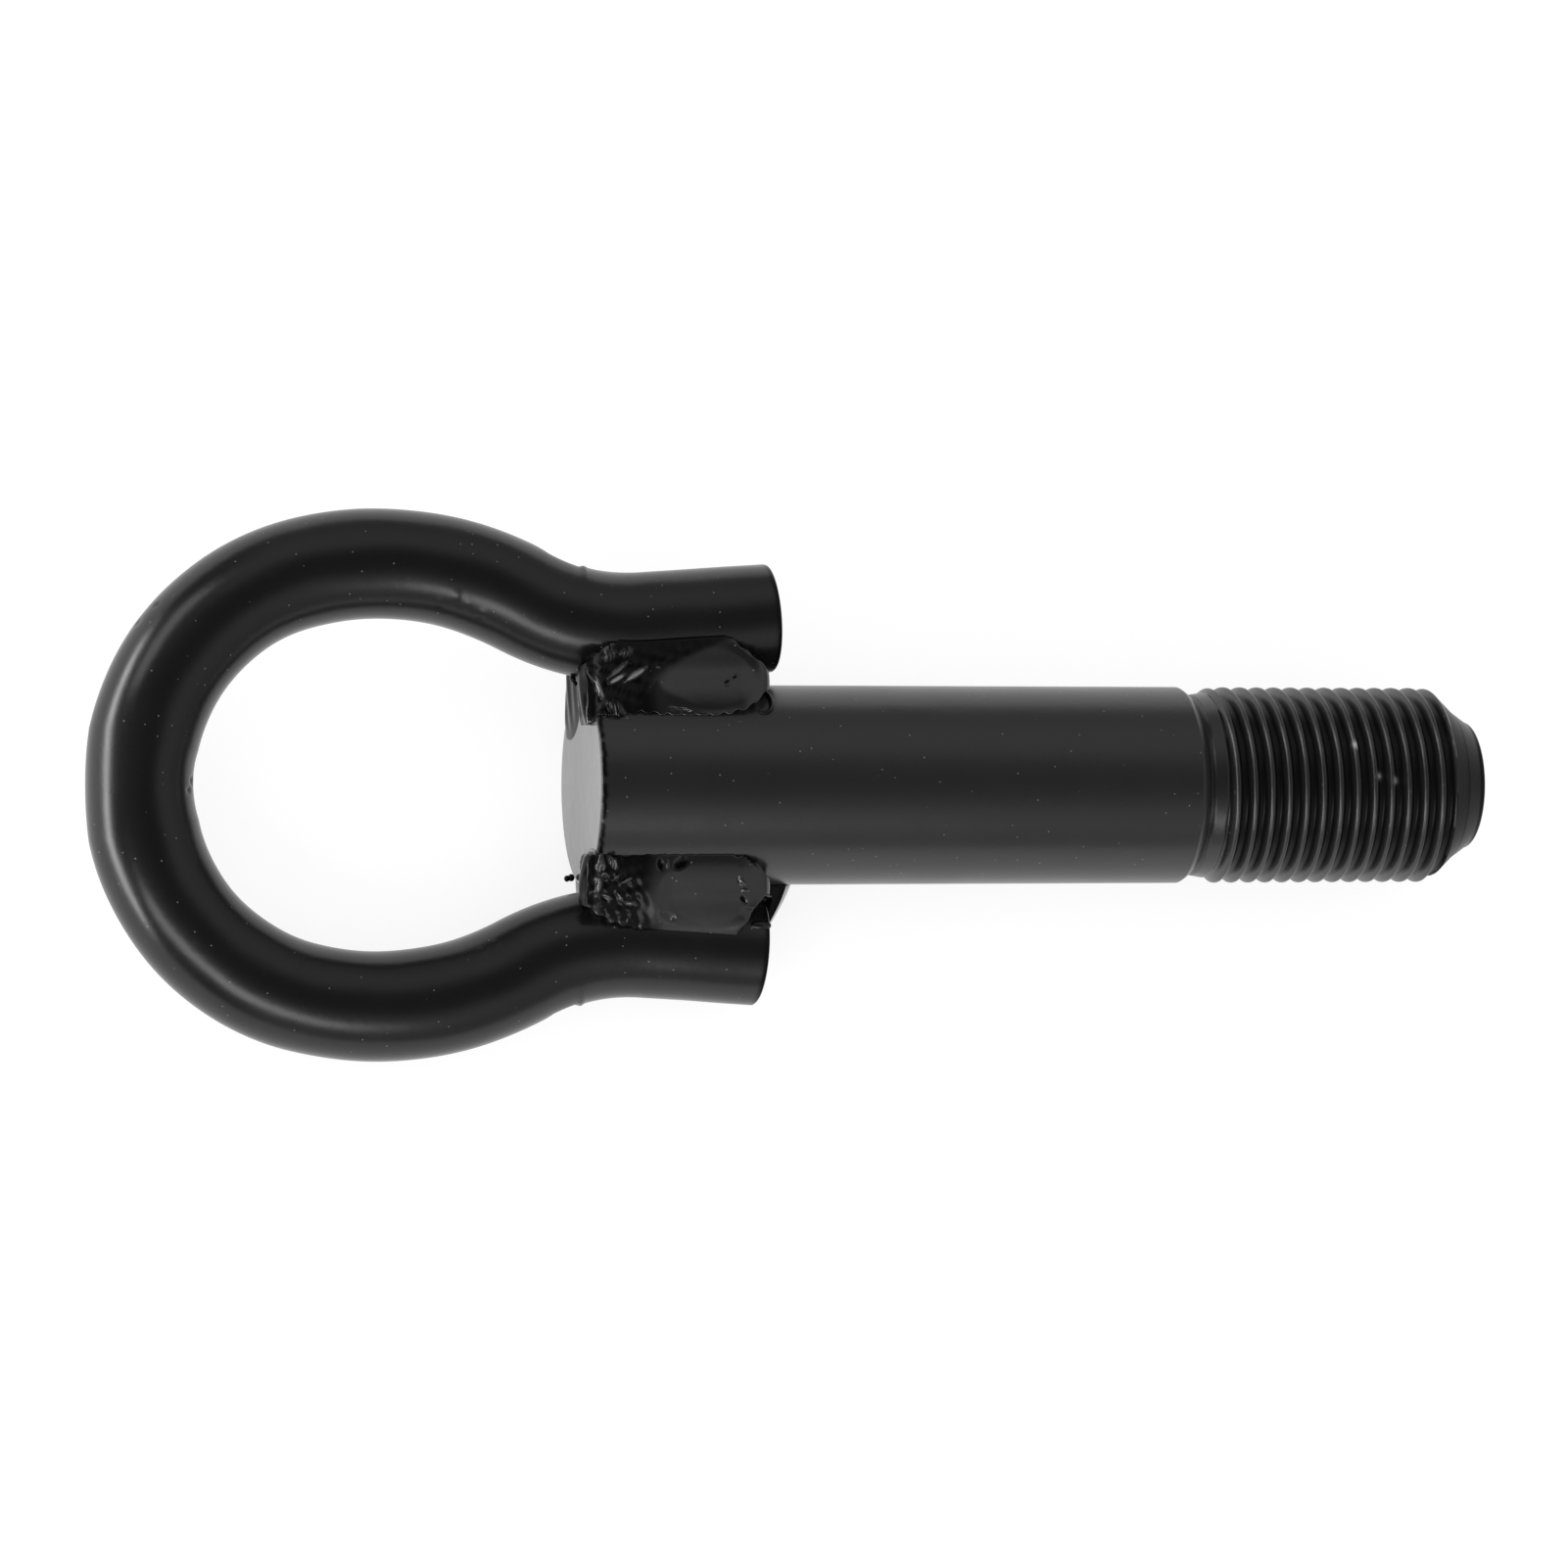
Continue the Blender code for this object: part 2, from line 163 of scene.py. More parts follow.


# Sprayed black enamel over steel. Grain is the width of its orange peel in millimetres. The darkest mark is
# painted shade in creases, hollows and edges, where it also takes the gloss away, and the real small holes
# in the sawn face. The sawn mark is a smooth, thinly sprayed cut, pale partly as a painted sheen of the
# white floor. The light mark is steel showing in nicks on the shank, and a painted glint on the beads'
# ridges.
def blackPaint(name, colour, roughness, grain, index=1.52):
    material = bpy.data.materials.new(name)
    material.use_nodes = True
    tree = material.node_tree
    shader = tree.nodes["Principled BSDF"]
    place = addNode(tree, "ShaderNodeTexCoord").outputs["Object"]
    perMetre = 1 / mm
    cloud = addNode(tree, "ShaderNodeTexNoise", Vector=place, Scale=perMetre / paint["cloud"], Detail=3.0)
    peel = addNode(tree, "ShaderNodeTexNoise", Vector=place, Scale=perMetre / grain, Detail=2.0)
    swell = addNode(tree, "ShaderNodeTexNoise", Vector=place, Scale=perMetre / paint["swell"], Detail=2.0)
    shadeAndPit = addNode(tree, "ShaderNodeAttribute", {"attribute_name": "shadeAndPit"}).outputs["Fac"]
    sawnSheen = addNode(tree, "ShaderNodeAttribute", {"attribute_name": "sawnSheen"}).outputs["Fac"]
    wearAndGlint = addNode(tree, "ShaderNodeAttribute", {"attribute_name": "wearAndGlint"}).outputs["Fac"]

    # dust specks under the coat: small balls round some of the points of a random cloud
    cells = addNode(tree, "ShaderNodeTexVoronoi", Vector=place, Scale=perMetre / paint["speckSpacing"])
    chance = addNode(tree, "ShaderNodeSeparateColor", Color=cells.outputs["Color"])
    less, times = {"operation": "LESS_THAN"}, {"operation": "MULTIPLY"}
    near = addNode(tree, "ShaderNodeMath", less, in0=cells.outputs["Distance"], in1=paint["speckRadius"])
    chosen = addNode(tree, "ShaderNodeMath", less, in0=chance.outputs["Red"], in1=paint["speckShare"])
    speck = addNode(tree, "ShaderNodeMath", times, in0=near.outputs[0], in1=chosen.outputs[0]).outputs[0]

    # the marks' colours, one over the other
    layer = hexColour(colour)
    for amount, kind in ((sawnSheen, "sawnSheen"), (speck, "speck"), (wearAndGlint, "wearAndGlint"), (shadeAndPit, "shadeAndPit")):
        tint = hexColour(paint[kind + "Colour"])
        mix = addNode(tree, "ShaderNodeMix", {"data_type": "RGBA"}, in0=amount, in6=layer, in7=tint)
        layer = mix.outputs[2]
    tree.links.new(layer, shader.inputs["Base Color"])

    shade = addNode(tree, "ShaderNodeMapRange", Value=cloud.outputs["Fac"])
    shade.inputs["To Min"].default_value = roughness - paint["smoother"]
    shade.inputs["To Max"].default_value = roughness + paint["rougher"]
    cut = addNode(tree, "ShaderNodeMix", in0=sawnSheen, in2=shade.outputs["Result"], in3=paint["sawnRoughness"])
    tree.links.new(cut.outputs[0], shader.inputs["Roughness"])
    gloss = addNode(tree, "ShaderNodeMapRange", Value=shadeAndPit)
    gloss.inputs["To Min"].default_value = paint["gloss"]
    gloss.inputs["To Max"].default_value = paint["shadeAndPitGloss"]
    tree.links.new(gloss.outputs["Result"], shader.inputs["Specular IOR Level"])

    fine = addNode(
        tree,
        "ShaderNodeBump",
        Height=peel.outputs["Fac"],
        Distance=paint["peelHeight"] * mm,
        Strength=paint["peelStrength"],
    )
    wide = addNode(
        tree,
        "ShaderNodeBump",
        Height=swell.outputs["Fac"],
        Distance=paint["swellHeight"] * mm,
        Strength=paint["swellStrength"],
        Normal=fine.outputs[0],
    )
    tree.links.new(wide.outputs["Normal"], shader.inputs["Normal"])
    shader.inputs["IOR"].default_value = index
    return material


# On the bent bar the enamel is deep black with soft, broad highlights. On the turned shank it is a little
# greyer and more even. On the beads it has run thick, so that ridges glint, with painted glints added to
# them, and puddles look wet.
barPaint = blackPaint("semiGlossPaintOnBar", "#0f0f10", 0.25, 0.9, 1.45)
shankPaint = blackPaint("semiGlossPaintOnShank", "#1b1b1c", 0.29, 0.7)
weldPaint = blackPaint("glossPaintOnWeld", "#161617", 0.18, 0.8, 1.6)

# The eye, bent from one round bar

bar = {
    "crownTurn": 76.0,  # degrees of the tight bend at the crown of the eye, on each side
    "shoulderBend": 34.0,  # radius of the wide bend that follows it
    "reverseBend": 25.0,  # radius of the bend back to the leg
    "legSplay": 4.25,  # degrees by which a leg leaves the shank
    "legSeat": 5.1,  # where a leg comes nearest the shank, from the back face
    "leftReach": 21.3,
    "rightReach": 19.9,
    "endRound": 0.5,
    "crownPinch": 0.22,  # how much the tight bend has flattened the bar
    "crownPinchAngle": 12.0,  # degrees to each side of the crown at which the pinch has faded
    # the press's flat lands: side (the left is -1), start past the reverse bend's start, and length
    "lands": [(-1, -0.6, 5.6), (1, 0.2, 4.4)],
    "landDepth": 0.30,
    "lipHeight": 0.16,
    # chips in the paint: distance from the crown, turn from inwards over the top in degrees, half length,
    # half width across the bar and depth. A blister has a depth below 0.
    "chips": [
        (-0.6, 20, 0.7, 0.7, 0.30),
        (0.7, 31, 0.5, 0.5, 0.16),
        (-14.9, 170, 0.5, 0.5, 0.12),
        (-17.1, 161, 0.35, 0.4, 0.09),
        (-48.0, 62, 0.55, 0.75, -0.06),
        (-49.6, 57, 0.45, 0.6, -0.05),
        (-51.6, 52, 0.6, 0.6, -0.06),
        (-46.2, 50, 0.45, 0.55, -0.05),
        (52.0, 48, 0.6, 0.6, -0.06),
        (54.0, 44, 0.5, 0.5, -0.05),
        (-27.0, 96, 0.5, 0.5, -0.05),
    ],
    "burr": ((18.95, 15.4, 5.0), 0.62, 2.1),  # a flat lump on the right leg's end: place, radius and stretch
    "around": 96,  # points around the bar
    "along": 0.26,  # mm between its rings
    "fineStep": 0.02,  # mm between the places at which the centre-line is worked out
}


# The half bar's bends as arc lengths and as headings at their ends, and the length of the eye before the
# seat. The crown's radius makes the first two bends as wide as half the eye, and slope is the heading at
# which the last two bring the leg down to its seat.
def barTurns():
    crownTurn, splay = math.radians(bar["crownTurn"]), math.radians(bar["legSplay"])
    shoulder, reverse = bar["shoulderBend"], bar["reverseBend"]
    crown = (eyeHalfWidth - shoulder * (1 - math.sin(crownTurn))) / math.sin(crownTurn)
    slope = math.acos(1 - (eyeHalfWidth - seatHeight) / (shoulder + reverse))
    shoulderTurn = math.pi / 2 - crownTurn + slope
    lengths = [crown * crownTurn, shoulder * shoulderTurn, reverse * (slope + splay)]
    headings = [math.pi / 2, math.pi / 2 - crownTurn, -slope, splay]
    eyeLength = crown * (1 - math.cos(crownTurn)) + shoulder * (math.cos(crownTurn) + math.sin(slope))
    return lengths, headings, eyeLength + reverse * math.sin(slope)


# Half the centre-line as x, y, heading and distance from the crown. The heading changes evenly between
# the bends' ends, and x and y are the running sums of its cosine and sine.
def halfBar(reach):
    lengths, headings, eyeLength = barTurns()
    knots = np.concatenate([[0], np.cumsum(lengths)])
    fine = np.arange(0, knots[-1] + 2 * reach, bar["fineStep"])
    heading = np.interp(fine, knots, headings)
    middle = (heading[1:] + heading[:-1]) / 2
    x = np.concatenate([[0], np.cumsum(np.cos(middle) * bar["fineStep"])]) + bar["legSeat"] - eyeLength
    y = np.concatenate([[0], np.cumsum(np.sin(middle) * bar["fineStep"])])
    run = np.interp(reach, x[fine > knots[2]], fine[fine > knots[2]])
    s = np.linspace(0, run, round(run / bar["along"]))
    return np.stack([np.interp(s, fine, x), np.interp(s, fine, y), np.interp(s, fine, heading), s], -1)


# The whole centre-line from the left leg's end to the right one's: the left half is run backwards, and
# the right one is mirrored.
def barLine():
    left = halfBar(bar["leftReach"])[::-1] * [1, 1, 1, -1] + [0, 0, math.pi, 0]
    right = halfBar(bar["rightReach"])[1:] * [1, -1, -1, 1]
    return np.concatenate([left, right])


drop = {"rings": 13, "columns": 20, "stretch": 0.9}


# A drop of spatter as points and faces: a ball whose x is scaled by stretch. Side and face mirror y and
# z, and first is the number of its first point.
def makeDrop(centre, radius, side, face, first, stretch=drop["stretch"]):
    polar = np.linspace(0, math.pi, drop["rings"])[:, None]
    turn = np.linspace(0, 2 * math.pi, drop["columns"], endpoint=False)[None]
    x = centre[0] + stretch * radius * np.sin(polar) * np.cos(turn)
    y = centre[1] + radius * np.sin(polar) * np.sin(turn)
    z = centre[2] + radius * np.cos(polar) + 0 * turn
    points = np.stack([x, side * y, face * z], -1).reshape(-1, 3)
    return points, gridFaces(drop["rings"], drop["columns"], first)


# Radius and setback of rings over a flat end with a rounded edge, from its middle outwards: even steps
# over the flat, then a quarter circle. The last flat ring stops just short of the rounding.
def endRings(radius, roundness, count, flats=5):
    turn = np.linspace(0, math.pi / 2, count)
    flat = np.linspace(0, 0.985, flats) * (radius - roundness)
    radii = np.concatenate([flat, radius - roundness + roundness * np.sin(turn)])
    return radii, np.concatenate([np.zeros(flats), roundness * (1 - np.cos(turn))])


# Rings along the centre-line. Across is a point's distance towards the eye's inside and up its height,
# and both are the radius times a cosine or sine, changed where the bar isn't round.
def makeBar():
    line = barLine()
    radii, setbacks = endRings(barRadius, bar["endRound"], 5)
    starts = np.repeat(line[:1], len(radii), 0)
    ends = np.repeat(line[-1:], len(radii), 0)
    for rows, way in ((starts, 1), (ends, -1)):
        rows[:, 0] += way * setbacks * np.cos(rows[:, 2])
        rows[:, 1] += way * setbacks * np.sin(rows[:, 2])
        rows[:, 3] += way * setbacks
    inner = (line[:, 3] > starts[-1, 3]) & (line[:, 3] < ends[-1, 3])
    line = np.concatenate([starts, line[inner], ends[::-1]])
    radius = np.concatenate([radii, np.full(inner.sum(), barRadius), radii[::-1]])[:, None]
    x, y, heading, s = (line[:, k : k + 1] for k in range(4))
    turn = np.linspace(0, 2 * math.pi, bar["around"], endpoint=False)[None]
    inward, lift = np.cos(turn) + 0 * s, np.sin(turn) + 0 * s

    # cold bending leaves the bar a few hundredths out of round
    wave = 0.02 * np.sin(s / 3.1 + 2 * turn) + 0.015 * np.sin(s / 1.7 - 3 * turn + 1)
    wave = wave * (radius > barRadius * 0.98)

    # the tight bend has pinched it at the crown, by one less the squared turn away from there
    turned = np.cos(heading) / math.sin(math.radians(bar["crownPinchAngle"]))
    pinch = bar["crownPinch"] * np.maximum(0, 1 - turned**2)
    across = (radius - pinch + wave) * inward
    up = (radius + wave) * lift

    # the press has left a flat land with a raised lip on the outside of each reverse bend
    lengths = barTurns()[0]
    landEdge = 0 * across
    for side, start, length in bar["lands"]:
        along = s * side - (lengths[0] + lengths[1] + start)
        land = step(along, -1.5, 1.0) * (1 - step(along, length, length + 0.25))
        lip = bell(along, length + 0.35, 0.7) * step(-inward, 0.55, 0.95)
        limit = -barRadius + bar["landDepth"] * land
        landEdge = np.maximum(landEdge, bell(along, length + 0.1, 0.5) * step(-inward, 0.85, 0.95))
        across = np.where(across < limit, limit, across) - bar["lipHeight"] * lip

    # chips and blisters are round hollows and humps, by one less the squared distances along and around
    chipped = 0 * across
    for place, degrees, halfLength, halfWidth, depth in bar["chips"]:
        around = np.angle(np.exp(1j * (turn - math.radians(degrees)))) * barRadius
        hole = np.clip(1.2 - ((s - place) / halfLength) ** 2 - (around / halfWidth) ** 2, 0, 1)
        across = across * (1 - depth * hole / barRadius)
        up = up * (1 - depth * hole / barRadius)
        chipped = np.maximum(chipped, 0.8 * hole * (depth > 0))

    # painted shade: the lands' lips, the sawn ends' edges and the chips' hollows are darkened and reflect
    # little
    fromEnd = np.minimum(s - s[0], s[-1] - s)
    shadedSpots = np.maximum(np.maximum(0.6 * landEdge, bell(fromEnd, 0.25, 0.45)), chipped).ravel()
    points = np.stack([x - across * np.sin(heading), y + across * np.cos(heading), up], -1).reshape(-1, 3)
    faces = gridFaces(len(line), bar["around"])
    place, radius, stretch = bar["burr"]
    burrPoints, burrFaces = makeDrop(place, radius, -1, 1, len(points), stretch)
    points = np.concatenate([points, burrPoints])
    faces = np.concatenate([faces, burrFaces])
    marks = {"shadeAndPit": np.concatenate([shadedSpots, np.zeros(len(burrPoints))])}
    makePiece("eyeBar", points, faces, barPaint, ["eye_bar"], marks)


makeBar()

# The turned shank with its thread

shank = {
    "body": 68.0,  # length of the plain body
    "backRound": 0.35,
    "shoulder": 1.4,  # length of the chamfer at the body's end
    "shoulderCrown": 0.12,
    "grooveRadius": 9.8,  # the groove at the chamfer's foot
    "grooveFlare": 0.4,
    "neckRadius": 10.15,
    "neckLength": 1.4,
    "collarRadius": 10.4,  # where the thread starts
    "threadLength": 28.7,
    "pitch": 2.0,
    "depth": 1.08,
    "phase": 0.15,  # turns that the thread is on at its start
    "halfCrest": 0.0625,  # half the flat crest of a cut thread, in turns
    "crestShare": 0.055,  # half the crest that paint has left, as a share of the pitch
    "flankShare": 0.31,
    "softness": 0.3,  # how round the flanks are, from 0 to 1
    "leadIn": 0.7,
    "leadOut": 2.5,
    "noseBase": 8.65,  # radius
    "noseTip": 7.2,  # radius
    "noseLength": 2.6,
    "noseRound": 0.5,
    "around": 192,
    "rowsPerPitch": 16,
    # small holes in the sawn face as y and z, and bare spots on the thread's crests as x and y
    "facePits": [(-7.2, 2.4), (-7.6, 5.6), (-8.0, 2.4), (6.1, -5.2)],
    "nicks": [(88.7, 1.0), (90.6, 0.5), (86.1, 4.5), (97.4, 5.0)],
}


# Circles about the shank's axis, one for each x and radius.
def turnedRings(x, radius):
    turn = np.linspace(0, 2 * math.pi, shank["around"], endpoint=False)[None]
    x, radius = np.asarray(x)[:, None], np.asarray(radius)[:, None]
    return np.stack([x + 0 * turn, radius * np.cos(turn), radius * np.sin(turn)], -1)


# Where the thread starts: the lengths before it, added up.
def threadStart():
    return shank["body"] + shank["shoulder"] + shank["grooveFlare"] + shank["neckLength"]


# The plain body and the neck as x and radius: sawn face, rounded rim, body, chamfer with a crown of 4 t
# (1 - t), groove and neck. Rings lie close together at each edge.
def turnedProfile():
    radii, setbacks = endRings(shankRadius, shank["backRound"], 5, 60)
    share = np.linspace(0, 1, 9)
    chamfer = shankRadius - share * (shankRadius - shank["grooveRadius"])
    chamfer += 4 * shank["shoulderCrown"] * share * (1 - share)
    groove = shank["body"] + shank["shoulder"]
    neck = groove + shank["grooveFlare"]
    edge = shank["body"] - np.array([0.12, 0.04])
    plain = np.concatenate([np.arange(0.4, 1.2, 0.1), np.linspace(1.4, shank["body"] - 0.2, 90), edge])
    collar = np.linspace(neck + 0.3, threadStart(), 5)
    flare = [groove + 0.04, neck - 0.08, neck, neck + 0.08, neck + 0.15, *collar]
    turned = [shank["grooveRadius"], shank["neckRadius"], shank["collarRadius"]]
    x = np.concatenate([setbacks, plain, shank["body"] + share * shank["shoulder"], flare])
    neckRadii = np.interp(flare, [groove, neck, threadStart()], turned)
    return x, np.concatenate([radii, np.full(len(plain), shankRadius), chamfer, neckRadii])


# Rows that climb one pitch a turn. The radius falls from the crest by the thread's depth over a flank,
# and stays under the blank's own radius, which rises at the neck and drops at the nose.
def threadRows():
    start = threadStart()
    end = start + shank["threadLength"]
    pitch, count, collar = shank["pitch"], shank["rowsPerPitch"], shank["collarRadius"]
    rows = np.arange(-2 * count, (math.ceil(shank["threadLength"] / pitch) + 1) * count + 1)[:, None]
    column = np.arange(shank["around"])[None] / shank["around"]
    turn = 2 * math.pi * column
    climb = rows / count + column
    x = np.clip(start + pitch * (climb + shank["phase"] + shank["halfCrest"]), start, end)
    fromCrest = np.abs((rows / count + 0.5) % 1 - 0.5) + 0 * column
    fall = np.clip((fromCrest - shank["crestShare"]) / shank["flankShare"], 0, 1)
    fall = (1 - shank["softness"]) * fall + shank["softness"] * fall * fall * (3 - 2 * fall)
    rise = collar + (shankRadius - collar) * (x - start) / shank["leadIn"]
    sink = shank["noseBase"] + (shankRadius - shank["noseBase"]) * (end - x) / shank["leadOut"]
    radius = np.minimum(np.minimum(shankRadius - shank["depth"] * fall, rise), sink)
    radius = np.where(x <= start, collar, np.where(x >= end, shank["noseBase"], radius))
    return np.stack([x, radius * np.cos(turn), radius * np.sin(turn)], -1)


# Body, thread and nose as three grids of rings with as many columns. The thread's seam joins rows one
# pitch apart.
def makeShank():
    body = turnedRings(*turnedProfile())
    thread = threadRows()
    tipRadii, tipSetbacks = endRings(shank["noseTip"], shank["noseRound"], 6)
    coneStart = threadStart() + shank["threadLength"]
    tip = coneStart + shank["noseLength"]
    coneEnd = tip - shank["noseRound"]
    coneX = np.concatenate([[coneStart, coneStart + 0.05], np.linspace(coneStart + 0.15, coneEnd, 8)[:-1]])
    coneRadii = np.interp(coneX, [coneStart, coneEnd], [shank["noseBase"], shank["noseTip"]])
    noseX = np.concatenate([coneX, (tip - tipSetbacks)[::-1]])
    nose = turnedRings(noseX, np.concatenate([coneRadii, tipRadii[::-1]]))
    columns = shank["around"]
    threadFaces = gridFaces(len(thread), columns).reshape(-1, columns, 4)
    seam = threadFaces[:, -1]
    raised = seam[:, 1:3] + columns * shank["rowsPerPitch"]
    seam[:, 1:3] = np.where(raised < len(thread) * columns, raised, (len(thread) - 1) * columns)
    threadFirst = len(body) * columns
    noseFirst = threadFirst + len(thread) * columns
    bodyFaces, noseFaces = gridFaces(len(body), columns), gridFaces(len(nose), columns, noseFirst)
    faces = np.concatenate([bodyFaces, threadFaces.reshape(-1, 4) + threadFirst, noseFaces])
    points = np.concatenate([body, thread, nose]).reshape(-1, 3)

    # painted shade: a ragged dark line along the body next to the sawn rim. The sawn face has small dark
    # holes
    x, y, z = points.T
    angle = np.arctan2(z, y)
    ragged = np.sin(9 * angle) * np.sin(23 * angle + 1) + 0.6 * np.sin(61 * angle)
    rim = bell(x, 0.38 + 0.10 * ragged, 0.34) * step(ragged, -1.3, -0.4)
    sawnSheen = 1 - step(x, 0.02, 0.12)
    for pitY, pitZ in shank["facePits"]:
        rim = np.maximum(rim, bell(np.hypot(y - pitY, z - pitZ), 0, 0.3) * (x < 0.05))

    # painted shade: the thread's roots and its run-out, 2 to 3 mm before the nose cone, are darkened and
    # reflect little
    under, start = shankRadius - np.hypot(y, z), threadStart()
    roots = 0.75 * step(under, 0.5, 0.95) * step(x, start + 0.6, start + 1.2)
    shadedRunOut = step(x, coneStart - 2.8, coneStart - 2.0) * step(under, 0.1, 0.4)
    shadedRunOut = shadedRunOut - 0.2 * step(x, coneStart, coneStart + 0.3)
    wearAndGlint = 0 * x
    for nickX, nickY in shank["nicks"]:
        wearAndGlint = np.maximum(wearAndGlint, bell(np.hypot(x - nickX, y - nickY), 0, 0.45) * (z > 9.5))
    dark = np.maximum(rim, np.where(x < coneStart - 2.0, roots, shadedRunOut))
    marks = {"shadeAndPit": dark * (1 - wearAndGlint), "sawnSheen": sawnSheen, "wearAndGlint": 1.3 * wearAndGlint}
    makePiece("threadedShank", points, faces, shankPaint, ["threaded_shank"], marks)


makeShank()

# Weld beads

weld = {
    "toeOnShank": 47.0,  # degrees round the shank, from the eye's plane to a bead's toe
    "toeOnBar": 75.0,  # the same round the bar
    "bulge": 0.5,  # height of the plain crown over the line between its toes
    "coreDepth": 1.0,  # how far under that line the rays start
    "sink": 0.12,  # how deep a bead's hidden sides lie in the metal
    "pastPlane": 0.3,  # how far it passes the eye's plane in the gap between leg and shank
    "fillet": 0.9,  # how far the crown's edge is rounded into the metal
    "endLength": 3.4,  # length of a bead's rounded end
    "rows": 300,
    "columns": 190,
    "crownShare": 0.6,  # share of a row's rays that go to the crown
    "sideShare": 0.2,  # share of each hidden side
    "rayLength": 9.5,
    "raySteps": 150,
    "grit": 0.07,  # height of the fine waves on the rough start
    "ridgeHeight": 1.3,  # times the heights given below
    "puddleMiddle": (13.0, 11.8),  # x, and y from the shank's axis
    "puddleHalf": (6.2, 4.6),  # half its length and width
    "puddleSag": 0.42,  # how far its middle lies under the plain crown
    "sagAcross": (11.9, 4.5),  # y of that middle, and how far beside it the sag ends
    "puddleLift": 0.12,  # how far all of it lies higher than that
}

# A bead's shape. Its tail stands out behind the shank, with a rounding and a radius, and its end is at x.
# RunOn leans the end along the shank, and tilt slopes the puddle. Border is where the puddle starts and
# how fast it draws back towards the bar, recess how deep the rough start before it lies, and the number
# after it how strong a painted glint lies on the ridges. OverBar and overShank limit the spread as pairs of
# x and y. A ridge or hollow is x, y, half length, half width, angle in degrees and height or depth, a patch
# of painted shade the same without a depth, with y from the shank's axis to the leg, and a drop is a place
# and a radius.
leftUpper = {
    "tail": 1.0,
    "tailRound": 0.8,
    "tailRadius": 6.0,
    "end": 19.6,
    "runOn": 0.2,
    "tilt": -0.12,
    "border": (5.2, 0.26),
    "recess": 0.45,
    "ridgeGlint": 0.6,
    "overBar": [(-1.5, 12.4), (0, 13.9), (2.4, 15.6), (4, 16.2), (6, 18), (13, 18)]
    + [(15.5, 16), (18, 14), (20, 12)],
    "overShank": [(-1.5, 6), (0.8, 7.4), (3, 7.5), (5, 7.9), (9, 7.5), (13, 7.5)]
    + [(15, 7.8), (17, 8.4), (20, 11)],
    "ridges": [
        (-0.4, 13.6, 1.0, 0.24, 38, 0.30),
        (1.6, 14.9, 1.0, 0.22, 29, 0.36),
        (1.75, 14.1, 1.05, 0.28, 29, 0.40),
        (3.7, 14.5, 0.85, 0.35, 20, 0.32),
        (2.6, 12.4, 1.6, 0.30, 40, 0.36),
        (2.5, 11.5, 1.2, 0.30, 28, 0.50),
        (4.6, 12.0, 1.6, 0.36, 32, 0.46),
        (2.0, 8.5, 1.05, 0.38, -19, 0.50),
        (1.7, 7.6, 1.1, 0.22, -27, 0.28),
        (3.1, 7.7, 0.8, 0.20, -20, 0.20),
        (5.0, 7.8, 0.4, 0.26, 30, 0.25),
        (0.3, 10.8, 2.2, 0.40, -70, 0.42),
        (7.2, 12.8, 0.26, 0.26, 0, 0.15),
        (14.8, 10.95, 0.4, 0.13, 25, 0.10),
        (15.7, 12.05, 0.3, 0.12, 25, 0.10),
    ],
    "hollows": [
        (14.7, 11.25, 0.5, 0.15, 27, 0.16),
        (15.6, 11.75, 0.4, 0.14, 25, 0.14),
        (9.9, 15.0, 0.45, 0.16, 45, 0.15),
        (17.4, 14.9, 1.2, 0.5, -50, 0.25),
        (9.3, 8.15, 1.5, 0.16, -8, 0.10),
    ],
    "shadedSpots": [(14.7, 11.25, 0.4, 0.12, 27), (15.6, 11.75, 0.3, 0.10, 25), (1.3, 8.0, 1.0, 0.16, -10)],
    "drops": [((-1.0, 11.6, 0.4), 0.38), ((-0.75, 11.1, 0.4), 0.3)],
}
